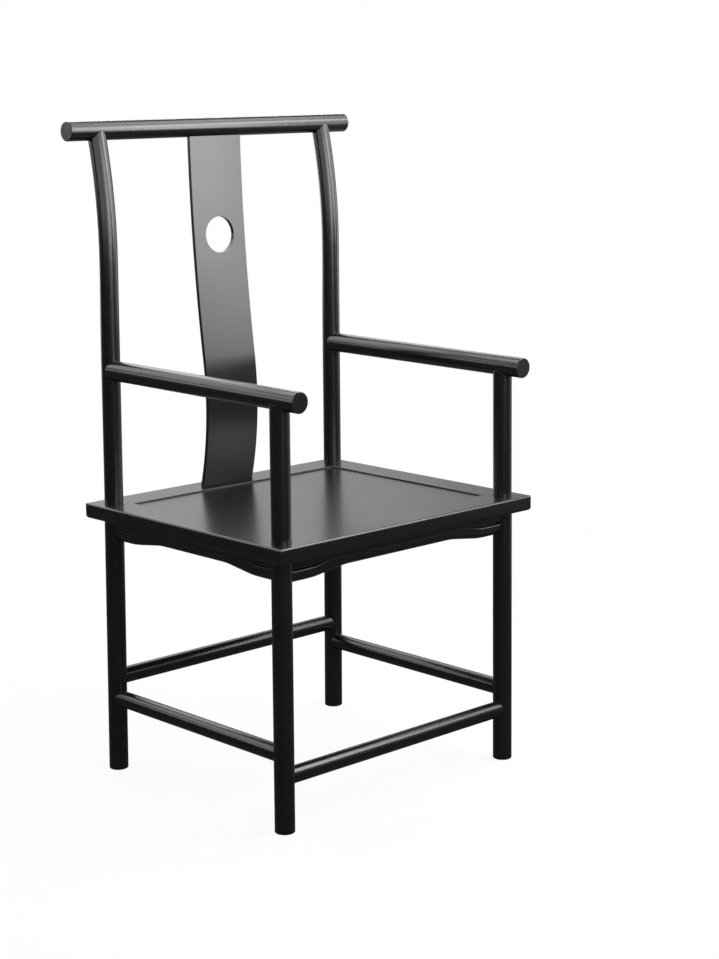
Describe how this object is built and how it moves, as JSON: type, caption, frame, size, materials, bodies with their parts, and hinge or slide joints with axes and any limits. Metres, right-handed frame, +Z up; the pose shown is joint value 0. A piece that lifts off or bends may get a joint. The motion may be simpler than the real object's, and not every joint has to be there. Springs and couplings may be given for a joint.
{
  "type": "official hat chair",
  "caption": "Armchair with round black rails: projecting crest rail, pierced S-curved splat, mitred seat frame, humpback rails and stepped stretchers.",
  "frame": {"origin": "on the floor, in the middle of the chair's overall width and depth", "axes": "+Z up, the chair's front faces -Y, +X is on the right of someone who looks at the front"},
  "size_m": [0.61, 0.5089, 1.1],
  "materials": {
    "black_lacquer": "satin black lacquer over fine-grained hardwood",
    "plain_wood": "dark oiled hardwood, under the seat"
  },
  "bodies": {
    "root": {"left_front_post": "black_lacquer", "right_front_post": "black_lacquer", "left_rear_post": "black_lacquer", "right_rear_post": "black_lacquer", "crest_rail": "black_lacquer", "back_splat": "black_lacquer", "left_arm": "black_lacquer", "right_arm": "black_lacquer", "seat_front_member": "black_lacquer", "seat_rear_member": "black_lacquer", "seat_left_member": "black_lacquer", "seat_right_member": "black_lacquer", "seat_panel": "black_lacquer", "left_batten": "plain_wood", "right_batten": "plain_wood", "front_humpback_rail": "black_lacquer", "rear_humpback_rail": "black_lacquer", "left_humpback_rail": "black_lacquer", "right_humpback_rail": "black_lacquer", "front_apron_strip": "black_lacquer", "rear_apron_strip": "black_lacquer", "left_apron_strip": "black_lacquer", "right_apron_strip": "black_lacquer", "front_stretcher": "black_lacquer", "rear_stretcher": "black_lacquer", "left_stretcher": "black_lacquer", "right_stretcher": "black_lacquer"}
  },
  "joints": []
}
